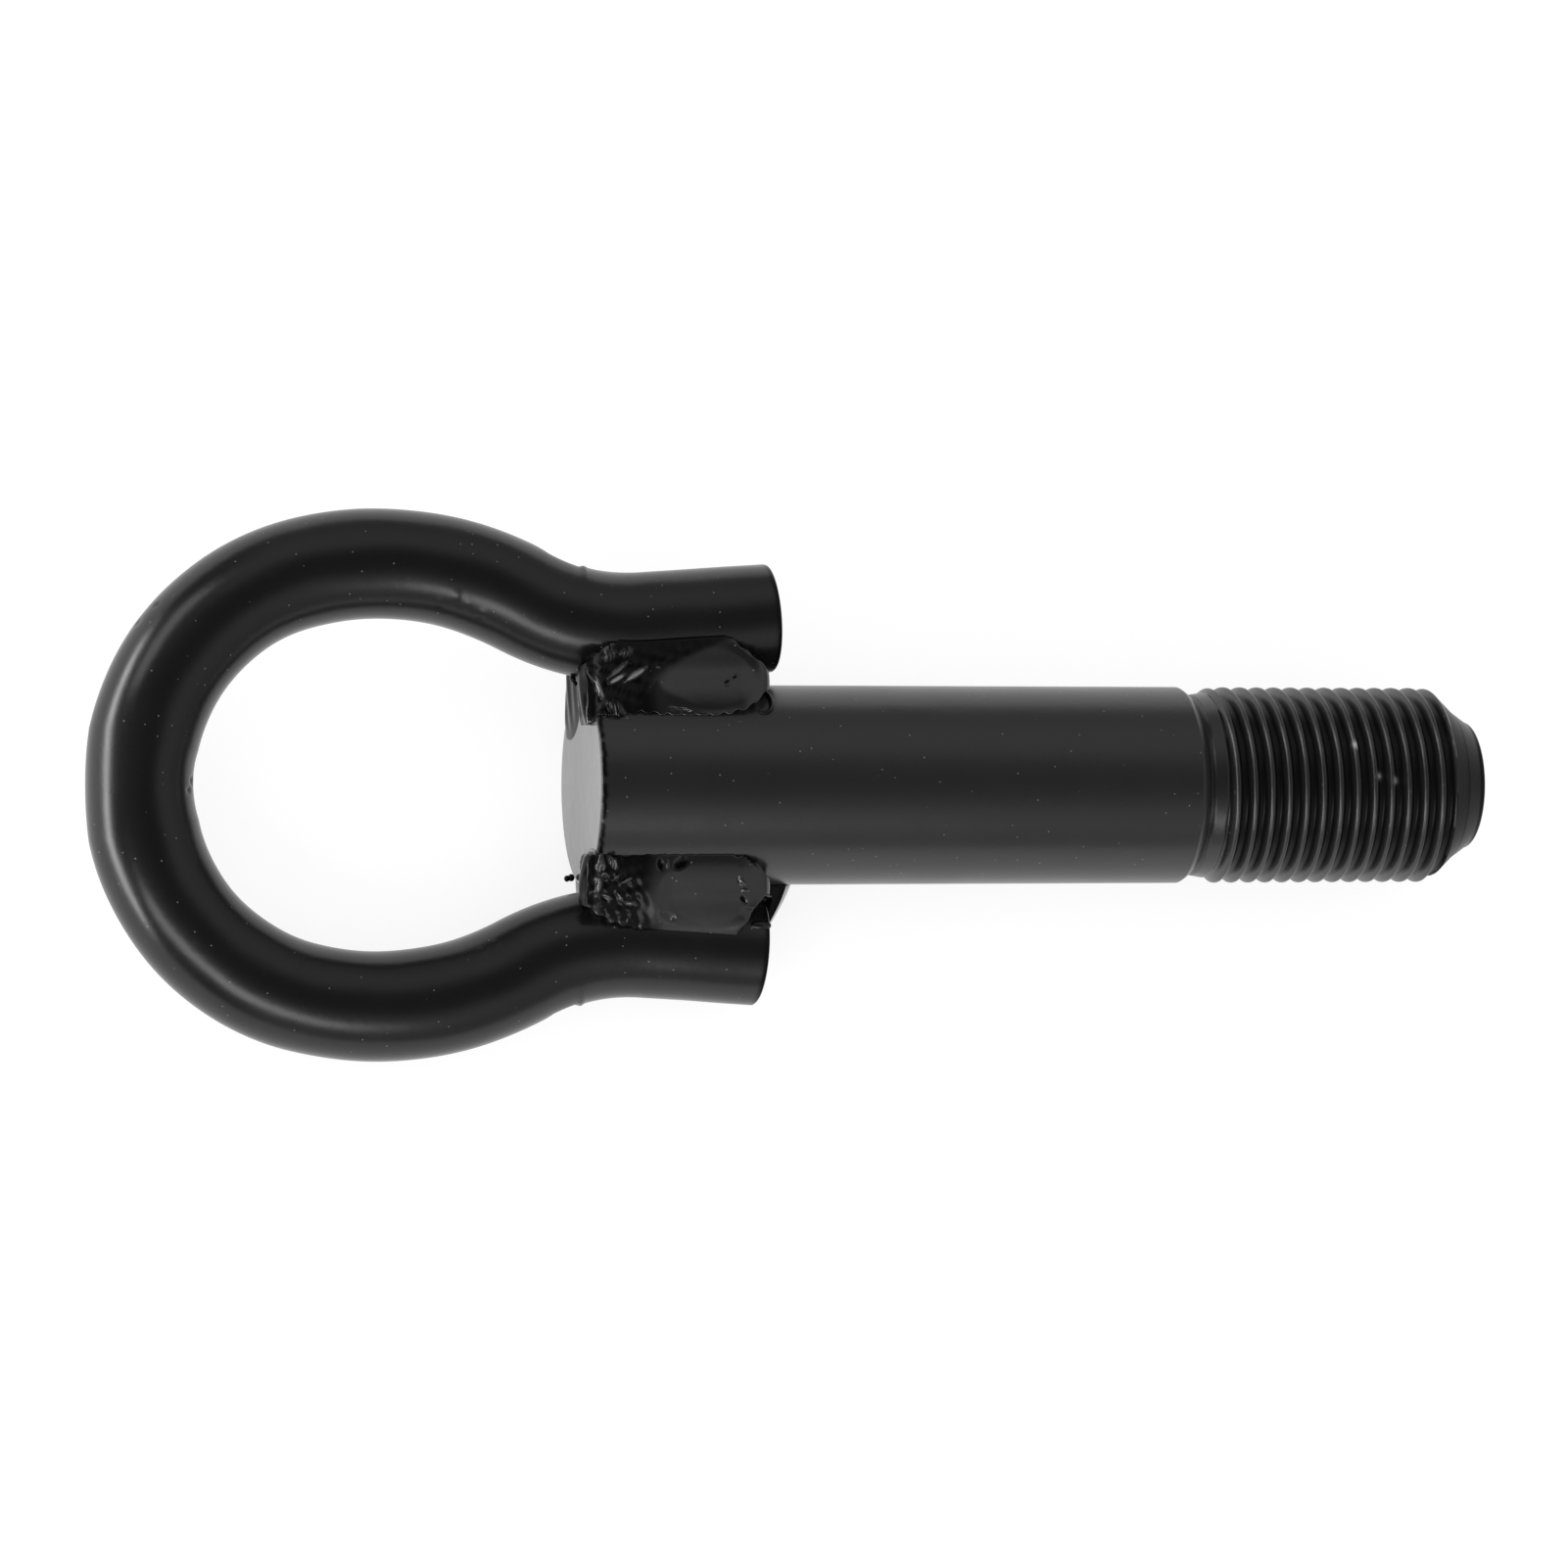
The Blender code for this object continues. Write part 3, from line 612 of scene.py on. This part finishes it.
rightUpper = {
    "tail": 1.0,
    "tailRound": 0.8,
    "tailRadius": 4.5,
    "end": 19.6,
    "runOn": 0.2,
    "tilt": -0.04,
    "border": (4.9, 0.04),
    "recess": 0.2,
    "ridgeGlint": 0.22,
    "overBar": [(-1.5, 12.6), (0, 13.7), (2, 14.8), (5.5, 15.9), (8, 18), (15, 18)]
    + [(16.7, 15.6), (19.5, 11)],
    "overShank": [(-1.5, 6), (0.8, 7.5), (3, 7.9), (6, 7.5), (10, 7.5), (14, 7.3)]
    + [(17, 7.9), (18.6, 9.2), (20, 11)],
    "ridges": [
        (0.5, 8.9, 0.6, 0.45, 0, 0.50),
        (0.4, 10.9, 1.0, 0.40, 100, 0.45),
        (1.8, 8.3, 0.95, 0.32, 50, 0.42),
        (2.3, 10.0, 0.6, 0.17, -30, 0.28),
        (3.5, 10.3, 0.7, 0.18, -27, 0.28),
        (1.1, 9.8, 0.6, 0.20, 20, 0.22),
        (2.85, 12.2, 0.85, 0.22, 47, 0.42),
        (4.1, 12.85, 0.85, 0.26, 12, 0.38),
        (1.45, 12.1, 0.65, 0.28, 22, 0.36),
        (0.9, 14.3, 0.4, 0.24, 30, 0.28),
        (2.0, 14.8, 0.45, 0.28, 25, 0.32),
        (3.2, 15.0, 0.45, 0.24, 10, 0.26),
        (4.1, 14.8, 0.35, 0.24, 0, 0.24),
        (5.5, 15.4, 0.3, 0.20, 0, 0.20),
        (7.9, 8.6, 0.5, 0.14, 80, 0.12),
        (16.4, 10.6, 0.5, 0.24, 60, 0.22),
        (16.7, 11.5, 0.36, 0.28, 0, 0.24),
    ],
    "hollows": [
        (7.15, 8.65, 0.8, 0.42, 85, 0.16),
        (9.4, 8.55, 1.0, 0.62, -30, 0.16),
        (16.6, 12.5, 0.6, 0.28, 55, 0.3),
        (15.9, 10.3, 0.4, 0.14, 80, 0.15),
        (17.6, 14.2, 1.4, 0.8, 20, 0.4),
        (8.4, 14.3, 1.0, 0.4, 25, 0.2),
    ],
    "shadedSpots": [
        (7.15, 8.55, 0.85, 0.36, 85),
        (9.4, 8.6, 1.0, 0.6, -30),
        (16.6, 12.5, 0.5, 0.2, 55),
        (17.0, 8.1, 1.4, 0.16, 42),
    ],
    "drops": [((-0.95, 10.3, -3.0), 0.36), ((-0.45, 10.2, -3.1), 0.42)],
}

# The curled run-off beside the left upper bead's end
curl = {
    "middle": (18.75, 9.2),
    "half": (1.2, 1.35),  # half its size in x and y
    "degrees": range(-110, 66, 7),
    "thinnest": 0.2,  # radius
    "thicker": 0.14,
}


# Drops that run together along a part of an ellipse, each at the shank's own height.
def curlDrops():
    drops = []
    for angle in np.radians(curl["degrees"]):
        x = curl["middle"][0] + curl["half"][0] * math.cos(angle)
        y = curl["middle"][1] + curl["half"][1] * math.sin(angle)
        z = math.sqrt(shankRadius**2 - y**2)
        drops.append(((x, y, z), curl["thinnest"] + curl["thicker"] * math.cos(angle / 1.3)))
    return drops


# A bead on the underside. Its ridges are an upper bead's, turned over about the y of half flip.
def underBead(ridges, shift, flip, **own):
    turned = [(x + shift, flip - y, long, wide, -angle, high) for x, y, long, wide, angle, high in ridges]
    spread = {"overBar": [(-1.5, 18), (20, 18)], "overShank": [(-1.5, 0), (20, 0)]}
    plain = {"tilt": 0.0, "border": (5.2, 0.1), "recess": 0.45, "ridgeGlint": 0.0}
    marks = {"ridges": turned, "hollows": [], "shadedSpots": [], "drops": []}
    return {**plain, **spread, **marks, **own}


leftUpper["drops"] += curlDrops()
leftUnder = underBead(
    leftUpper["ridges"][2:8], 0.4, 22.8, tail=0.35, tailRound=0.35, tailRadius=6.0, end=20.2, runOn=0.4
)
rightUnder = underBead(
    rightUpper["ridges"][1:9], 0.0, 23.0, tail=-0.7, tailRound=0.8, tailRadius=4.5, end=21.2, runOn=3.6
)


# Distance to the bar: its centre-line is the reverse bend's arc up to the splayed leg, then a line.
def legClearance(x, y, z, reach):
    splay, reverse = math.radians(bar["legSplay"]), bar["reverseBend"]
    centreX, centreY = bar["legSeat"], seatHeight + reverse
    toArc = np.hypot(x - centreX, y - centreY) - reverse
    toLine = (y - centreY) * math.cos(splay) - (x - centreX) * math.sin(splay) + reverse
    inPlane = np.where(x < centreX + reverse * math.sin(splay), toArc, toLine)
    return np.maximum(np.hypot(inPlane, z) - barRadius, x - reach)


# Distance to the shank's cylinder or to its back face, below 0 inside.
def shankClearance(x, y, z):
    beside, behind = np.hypot(y, z) - shankRadius, -x
    outside = np.hypot(np.maximum(beside, 0), np.maximum(behind, 0))
    return np.where((beside < 0) & (behind < 0), np.maximum(beside, behind), outside)


# How far the leg's centre-line is from the shank's axis: on the reverse bend's circle, then on a slope.
def legHeight(x):
    reverse, splay = bar["reverseBend"], math.radians(bar["legSplay"])
    away = x - bar["legSeat"]
    arc = seatHeight + reverse - np.sqrt(reverse**2 - away**2)
    turned = reverse * math.sin(splay)
    line = seatHeight + reverse * (1 - math.cos(splay)) + (away - turned) * math.tan(splay)
    return np.where(away < turned, arc, line)


# Leaf-shaped humps: each is 1 less the squared distances along and across it, and the highest counts.
def leaves(x, y, places, soft=0.0):
    field = 0 * x
    for placeX, placeY, long, wide, angle, *high in places:
        turn = math.radians(angle)
        along = ((x - placeX) * math.cos(turn) + (y - placeY) * math.sin(turn)) / long
        across = ((y - placeY) * math.cos(turn) - (x - placeX) * math.sin(turn)) / wide
        hump = np.clip(1 + soft - along**2 - across**2, 0, 1)
        field = np.maximum(field, (high[0] if high else 1) * hump)
    return field


# Height over the plain crown, and how far into the rough start a point lies, which sets the painted shade
# and glint there. A rough, sunken start with ridges gives way to a smooth, nearly flat puddle, which a
# parabola across it takes out of the plain crown's arc. Both fade at the toes.
def crownRelief(x, y, w, shape):
    start, curve = shape["border"]
    border = start + curve * np.maximum(y - 10, 0) ** 2 + 0.06 * np.minimum(y - 10, 0) ** 2
    smooth = step(x, border - 1.0, border + 1.5)
    hold = 1 - (2 * w - 1) ** 4
    grit = np.sin(3.1 * x + 1.7 * y) * np.sin(2.3 * y - 1.9 * x + 1) + 0.5 * np.sin(5.3 * x - 3.7 * y)
    rim = x + 0.3 * np.sin(1.7 * y + 1) + 0.2 * np.sin(4.3 * y)
    rough = (1 - smooth) * (weld["grit"] * grit - shape["recess"] * step(rim, -0.2, 1.2)) * hold
    (middleX, middleY), (halfLength, halfWidth) = weld["puddleMiddle"], weld["puddleHalf"]
    puddle = np.clip(1 - ((x - middleX) / halfLength) ** 2 - ((y - middleY) / halfWidth) ** 2, 0, 1)
    sagMiddle, sagHalf = weld["sagAcross"]
    sag = weld["puddleSag"] * (1 - ((y - sagMiddle) / sagHalf) ** 2)
    levelled = shape["tilt"] * (y - middleY) - sag
    flat = smooth * (weld["puddleLift"] + levelled) * step(puddle, 0, 0.5) * hold
    roughStart = 1 - step(x, border + 0.2, border + 2.4)
    ridges = weld["ridgeHeight"] * leaves(x, y, shape["ridges"])
    return rough + flat + ridges - leaves(x, y, shape["hollows"]), roughStart


# How far a tail stands out: sheets of run-off metal, lapped one over the next, above, and soft waves below.
def foldPush(y, z, face):
    if face < 0:
        return 0.15 * np.cos(2.2 * z - 0.6 * y) - 0.1
    upper = z - 5.2 - 0.35 * (y - 10) - 0.2 * np.sin(1.9 * y)
    lower = z - 1.6 - 0.30 * (y - 10) + 0.2 * np.sin(1.3 * y)
    laps = 0.42 * step(upper, -0.12, 0.2) + 0.42 * step(lower, -0.12, 0.2)
    creases = 0.25 * bell(upper, -0.2, 0.3) + 0.25 * bell(lower, -0.2, 0.3)
    return laps - creases - 0.45 + 0.12 * np.cos(2.6 * z + 0.9 * y)


# A bead as rays from a line inside the groove. A ray ends at the crown with its relief, or a little way
# into the metal. The crown is an arc over the line between the two toes, and both ends are rounded as
# quarter circles.
def makeWeld(name, node, side, face, reach, shape):
    columns, end, tail = weld["columns"], shape["end"], shape["tail"]
    share = np.linspace(-1, 1, weld["rows"])
    x = (end - tail) / 2 + (end + tail) / 2 * np.sin(share * math.pi / 2)
    tailShare = np.clip((x + tail) / shape["tailRound"], 0, 1)
    endShare = np.clip((end - x) / weld["endLength"], 0, 1)
    fullness = (np.sqrt(1 - (1 - tailShare) ** 2) * np.sqrt(1 - (1 - endShare) ** 2))[:, None]
    x, endShare = x[:, None], endShare[:, None]

    # the two toes, the way up from the line between them, the rays' core and the crown's arc
    onShank, onBar = math.radians(weld["toeOnShank"]), math.radians(weld["toeOnBar"])
    shankY, shankZ = shankRadius * math.cos(onShank), shankRadius * math.sin(onShank)
    barY, barZ = legHeight(x) - barRadius * math.cos(onBar), barRadius * math.sin(onBar)
    width = np.hypot(barY - shankY, barZ - shankZ)
    upY, upZ = (shankZ - barZ) / width, (barY - shankY) / width
    midY, midZ = (shankY + barY) / 2, (shankZ + barZ) / 2
    coreY, coreZ = midY - upY * weld["coreDepth"], midZ - upZ * weld["coreDepth"]
    arc = (width**2 / 4 + weld["bulge"] ** 2) / (2 * weld["bulge"])
    offY, offZ = coreY - midY - upY * (weld["bulge"] - arc), coreZ - midZ - upZ * (weld["bulge"] - arc)

    # the rays' directions: over the crown from the bar's toe to the shank's, down the shank and up the bar
    crownShare, sideShare = weld["crownShare"], weld["sideShare"]
    barFrom = crownShare + sideShare
    rootY = (shankRadius + legHeight(x) - barRadius) / 2
    toBar = np.arctan2(barZ - coreZ, barY - coreY)
    toShank = np.arctan2(shankZ - coreZ, shankY - coreY)
    toRoot = np.arctan2(-coreZ, rootY - coreY)
    toShank = np.where(toShank < toBar, toShank + 2 * math.pi, toShank)
    toRoot = np.where(toRoot < toShank, toRoot + 2 * math.pi, toRoot)
    part = np.arange(columns)[None] / columns
    overCrown = toBar + (toShank - toBar) * part / crownShare
    downShank = toShank + (toRoot - toShank) * (part - crownShare) / sideShare
    upBar = toRoot + (toBar + 2 * math.pi - toRoot) * (part - barFrom) / sideShare
    turn = np.where(part < crownShare, overCrown, np.where(part < barFrom, downShank, upBar))
    wayY, wayZ = np.cos(turn), np.sin(turn)

    # the plain crown, its relief in three rounds, as a ray that grows comes to another place, and its limits
    along = offY * wayY + offZ * wayZ
    plain = np.sqrt(along**2 + arc**2 - offY**2 - offZ**2) - along
    plain = np.minimum(plain, shape["tailRadius"] + step(x, -0.15, 0.5) * 5) * fullness
    w = 1 - np.clip(part / crownShare, 0, 1)
    crown, lift = plain, np.maximum(wayY * upY + wayZ * upZ, 0.25)
    for _ in range(3):
        relief, roughStart = crownRelief(x + 0 * part, coreY + crown * wayY, w, shape)
        crown = plain + relief / lift * np.minimum(fullness, plain)
    for key, way in (("overBar", 1), ("overShank", -1)):
        edgeX, edgeY = np.array(shape[key]).T
        aside = np.interp(x, edgeX, edgeY) + 0.15 * np.sin(4.1 * x) - coreY
        limit = way * aside / np.maximum(way * wayY, 0.05)
        crown = np.where(way * wayY > 0, np.minimum(crown, np.maximum(limit, 0.3)), crown)

    # where each ray meets the metal: the first step at which it is deeper than the sink
    steps = np.linspace(0, weld["rayLength"], weld["raySteps"])
    rayY = coreY[..., None] + wayY[..., None] * steps
    rayZ = coreZ[..., None] + wayZ[..., None] * steps
    rayX = x[..., None] + 0 * rayY
    clear = np.minimum(shankClearance(rayX, rayY, rayZ), legClearance(rayX, rayY, rayZ, reach))
    clear = np.minimum(clear + weld["sink"], rayZ + weld["pastPlane"])
    blocked = clear < 0
    hit = np.where(blocked.any(-1), blocked.argmax(-1), len(steps) - 1)
    before = np.take_along_axis(clear, np.maximum(hit - 1, 0)[..., None], -1)[..., 0]
    after = np.take_along_axis(clear, hit[..., None], -1)[..., 0]
    stop = steps[1] * (hit - 1 + np.clip(before / np.maximum(before - after, 1e-6), 0, 1))
    stop = np.maximum(stop, 0)

    # the shorter of crown and metal, rounded where they are nearly the same
    close = np.maximum(weld["fillet"] - np.abs(crown - stop), 0)
    distance = np.minimum(crown, stop) + close**2 / (4 * weld["fillet"])
    y, z = coreY + distance * wayY, coreZ + distance * wayZ
    lean = shape["runOn"] * (1 - endShare) * (legHeight(x) - y) / (legHeight(x) - shankRadius)
    pushed = x - foldPush(y, z, face) * step(-x, 0.02, 0.6)
    points = np.stack([pushed + lean, side * y, face * z], -1).reshape(-1, 3)

    # painted shade between the ridges, in the listed patches and on the tail, and a painted glint on the
    # ridges
    ridges = leaves(x + 0 * y, y, shape["ridges"], 0.3)
    if face > 0:
        onTail = 0.85 * step(-x, -0.05, 0.2) * step(y, 6.9, 7.7)
    else:
        onTail = step(-x, -0.4, -0.1) + 0 * y
    between = 0.85 * roughStart * step(x, 0.2, 1.0) * (1 - step(ridges, 0, 0.15))
    shadedSpots = np.maximum(leaves(x + 0 * y, y, shape["shadedSpots"], 0.4), np.maximum(between, onTail)).ravel()
    wearAndGlint = (shape["ridgeGlint"] * step(ridges, 0.25, 0.6) * np.maximum(roughStart, 0.3) * (x > 0) * (z > 0)).ravel()
    faces = gridFaces(weld["rows"], columns)
    for centre, radius in shape["drops"]:
        dropPoints, dropFaces = makeDrop(centre, radius, side, face, len(points))
        points = np.concatenate([points, dropPoints])
        faces = np.concatenate([faces, dropFaces])
        # painted shade: every drop is darkened, which also draws the curl beside the bead's end as a dark
        # line
        shadedSpots = np.concatenate([shadedSpots, np.full(len(dropPoints), 0.7)])
        wearAndGlint = np.concatenate([wearAndGlint, np.zeros(len(dropPoints))])
    makePiece(name, points, faces, weldPaint, [node], {"shadeAndPit": shadedSpots, "wearAndGlint": wearAndGlint})


for name, node, side, face, reach, shape in (
    ("leftUpperWeld", "weld_left_upper", 1, 1, bar["leftReach"], leftUpper),
    ("leftUnderWeld", "weld_left_under", 1, -1, bar["leftReach"], leftUnder),
    ("rightUpperWeld", "weld_right_upper", -1, 1, bar["rightReach"], rightUpper),
    ("rightUnderWeld", "weld_right_under", -1, -1, bar["rightReach"], rightUnder),
):
    makeWeld(name, node, side, face, reach, shape)

# Camera: over the hook, square to the eye's plane across the shank and yawed towards the eye

camera = {
    "focalLength": 134.9,
    "sensorWidth": 36,
    "distance": 649.0,  # mm, as the two places below
    "aimFromBack": 22.9,
    "aimAcross": 0.108,
    "yaw": 13.8,  # degrees
}


# The camera's axes are right, up and back, worked out in the hook's frame and laid down with it.
def makeCamera():
    yaw = math.radians(camera["yaw"])
    aim = Vector((camera["aimFromBack"], camera["aimAcross"], 0)) * mm
    back = Vector((-math.sin(yaw), 0, math.cos(yaw)))
    right = Vector((math.cos(yaw), 0, math.sin(yaw)))
    up = Vector((0, 1, 0))
    view = Matrix((right, up, back)).transposed().to_4x4()
    view.translation = aim + back * camera["distance"] * mm
    lens = bpy.data.cameras.new("productCamera")
    lens.lens = camera["focalLength"]
    lens.sensor_width = camera["sensorWidth"]
    lens.clip_start, lens.clip_end = 0.01, 20
    viewer = bpy.data.objects.new("productCamera", lens)
    viewer.matrix_world = restPlace @ view
    bpy.context.scene.collection.objects.link(viewer)
    bpy.context.scene.camera = viewer
    print("set the camera", camera["distance"], "mm away")


makeCamera()

# Floor and light

studio = {
    "floorHalf": 3.0,  # metres from its middle to a side
    "floorLevel": -0.00004,  # metres, just under the hook
    "floorGlow": 0.82,
    "floorShade": 0.25,  # the part of the floor's white that a shadow takes away
    "floorGrey": 0.8,  # its colour for the light that it throws back on the hook
    "sky": 0.8,  # strength of the even light that reaches matt surfaces
    "roomTilt": 7.0,  # degrees the room's dark ceiling lies towards -y from straight up
    "leftShare": 0.15,  # the left wall's brightness next to the others'
    "leftFades": (-0.55, -0.15),  # between these x of the direction, the left wall passes into the others
    # brightness of the room that gloss shows, by the cosine of the angle from the ceiling's middle
    "room": [(0, 0.28), (0.2, 0.34), (0.4, 0.46), (0.56, 0.54), (0.78, 0.54)]
    + [(0.87, 0.28), (0.93, 0.08), (1, 0.03)],
    # soft boxes: place in metres, width and height, power in watts, and whether it stands upright
    "boxes": {
        "lowLeftBox": ((-0.60, 0.0, 0.055), (0.9, 0.11), 4.2, True),
        "frontLeftBox": ((-0.25, -0.52, 0.40), (0.65, 0.18), 1.7, False),
        "backLeftBox": ((-0.48, 0.33, 0.39), (0.35, 0.2), 0.6, False),
    },
}


# A white sheet that the camera and reflections see as white, with a faint shadow of the hook.
def makeFloor():
    mesh = bpy.data.meshes.new("whiteFloor")
    half, level = studio["floorHalf"], studio["floorLevel"]
    corners = [(-half, -half, level), (half, -half, level), (half, half, level), (-half, half, level)]
    mesh.from_pydata(corners, [], [(0, 1, 2, 3)])
    floor = bpy.data.objects.new("whiteFloor", mesh)
    bpy.context.scene.collection.objects.link(floor)
    material = bpy.data.materials.new("whiteFloor")
    material.use_nodes = True
    tree = material.node_tree
    tree.nodes.clear()
    output = tree.nodes.new("ShaderNodeOutputMaterial")
    ray = tree.nodes.new("ShaderNodeLightPath").outputs
    either = {"operation": "MAXIMUM"}
    seen = addNode(tree, "ShaderNodeMath", either, in0=ray["Is Camera Ray"], in1=ray["Is Glossy Ray"])
    seen = addNode(tree, "ShaderNodeMath", either, in0=seen.outputs[0], in1=ray["Is Transmission Ray"])
    seen = seen.outputs[0]
    glow = addNode(tree, "ShaderNodeEmission", Strength=studio["floorGlow"])
    shade = addNode(tree, "ShaderNodeBsdfDiffuse", Color=(studio["floorShade"],) * 3 + (1,))
    white = addNode(tree, "ShaderNodeAddShader", in0=glow.outputs[0], in1=shade.outputs[0])
    plain = addNode(tree, "ShaderNodeBsdfDiffuse", Color=(studio["floorGrey"],) * 3 + (1,))
    mix = addNode(tree, "ShaderNodeMixShader", Fac=seen, in1=plain.outputs[0], in2=white.outputs[0])
    tree.links.new(mix.outputs[0], output.inputs["Surface"])
    mesh.materials.append(material)


# A rectangular lamp that faces the hook, or stands upright.
def softBox(name, place, size, power, upright):
    lamp = bpy.data.lights.new(name, "AREA")
    lamp.shape = "RECTANGLE"
    lamp.size, lamp.size_y = size
    lamp.energy = power
    holder = bpy.data.objects.new(name, lamp)
    holder.location = place
    aim = Vector((-place[0], -place[1], 0 if upright else -place[2]))
    holder.rotation_euler = aim.to_track_quat("-Z", "Y").to_euler()
    bpy.context.scene.collection.objects.link(holder)


# An even pale room for matt surfaces. Gloss sees walls that brighten upwards, under a dark ceiling.
def makeWorld():
    world = bpy.data.worlds.new("studio")
    world.use_nodes = True
    tree = world.node_tree
    tree.nodes.clear()
    output = tree.nodes.new("ShaderNodeOutputWorld")
    direction = addNode(tree, "ShaderNodeTexCoord").outputs["Generated"]
    parts = addNode(tree, "ShaderNodeSeparateXYZ", Vector=direction)
    tilt = math.radians(studio["roomTilt"])
    ceiling = (0, -math.sin(tilt), math.cos(tilt))
    dot, smooth = {"operation": "DOT_PRODUCT"}, {"interpolation_type": "SMOOTHSTEP"}
    toCeiling = addNode(tree, "ShaderNodeVectorMath", dot, in0=direction, in1=ceiling)
    ramp = addNode(tree, "ShaderNodeValToRGB", Fac=toCeiling.outputs["Value"])
    stops = ramp.color_ramp.elements
    while len(stops) < len(studio["room"]):
        stops.new(0.5)
    for stop, (place, value) in zip(stops, studio["room"]):
        stop.position = place
        stop.color = (value, value, value, 1)
    side = addNode(tree, "ShaderNodeMapRange", smooth, Value=parts.outputs["X"])
    side.inputs["From Min"].default_value, side.inputs["From Max"].default_value = studio["leftFades"]
    side.inputs["To Min"].default_value = studio["leftShare"]
    bright = side.outputs["Result"]
    glossy = addNode(tree, "ShaderNodeBackground", Color=ramp.outputs["Color"], Strength=bright)
    even = addNode(tree, "ShaderNodeBackground", Color=(1, 1, 1, 1), Strength=studio["sky"])
    isGlossy = addNode(tree, "ShaderNodeLightPath").outputs["Is Glossy Ray"]
    mix = addNode(tree, "ShaderNodeMixShader", Fac=isGlossy, in1=even.outputs[0], in2=glossy.outputs[0])
    tree.links.new(mix.outputs[0], output.inputs["Surface"])
    bpy.context.scene.world = world


makeFloor()
makeWorld()
for name, (place, size, power, upright) in studio["boxes"].items():
    softBox(name, place, size, power, upright)
bpy.context.scene.view_settings.view_transform = "Standard"
print("set the floor, the room and", len(studio["boxes"]), "soft boxes")
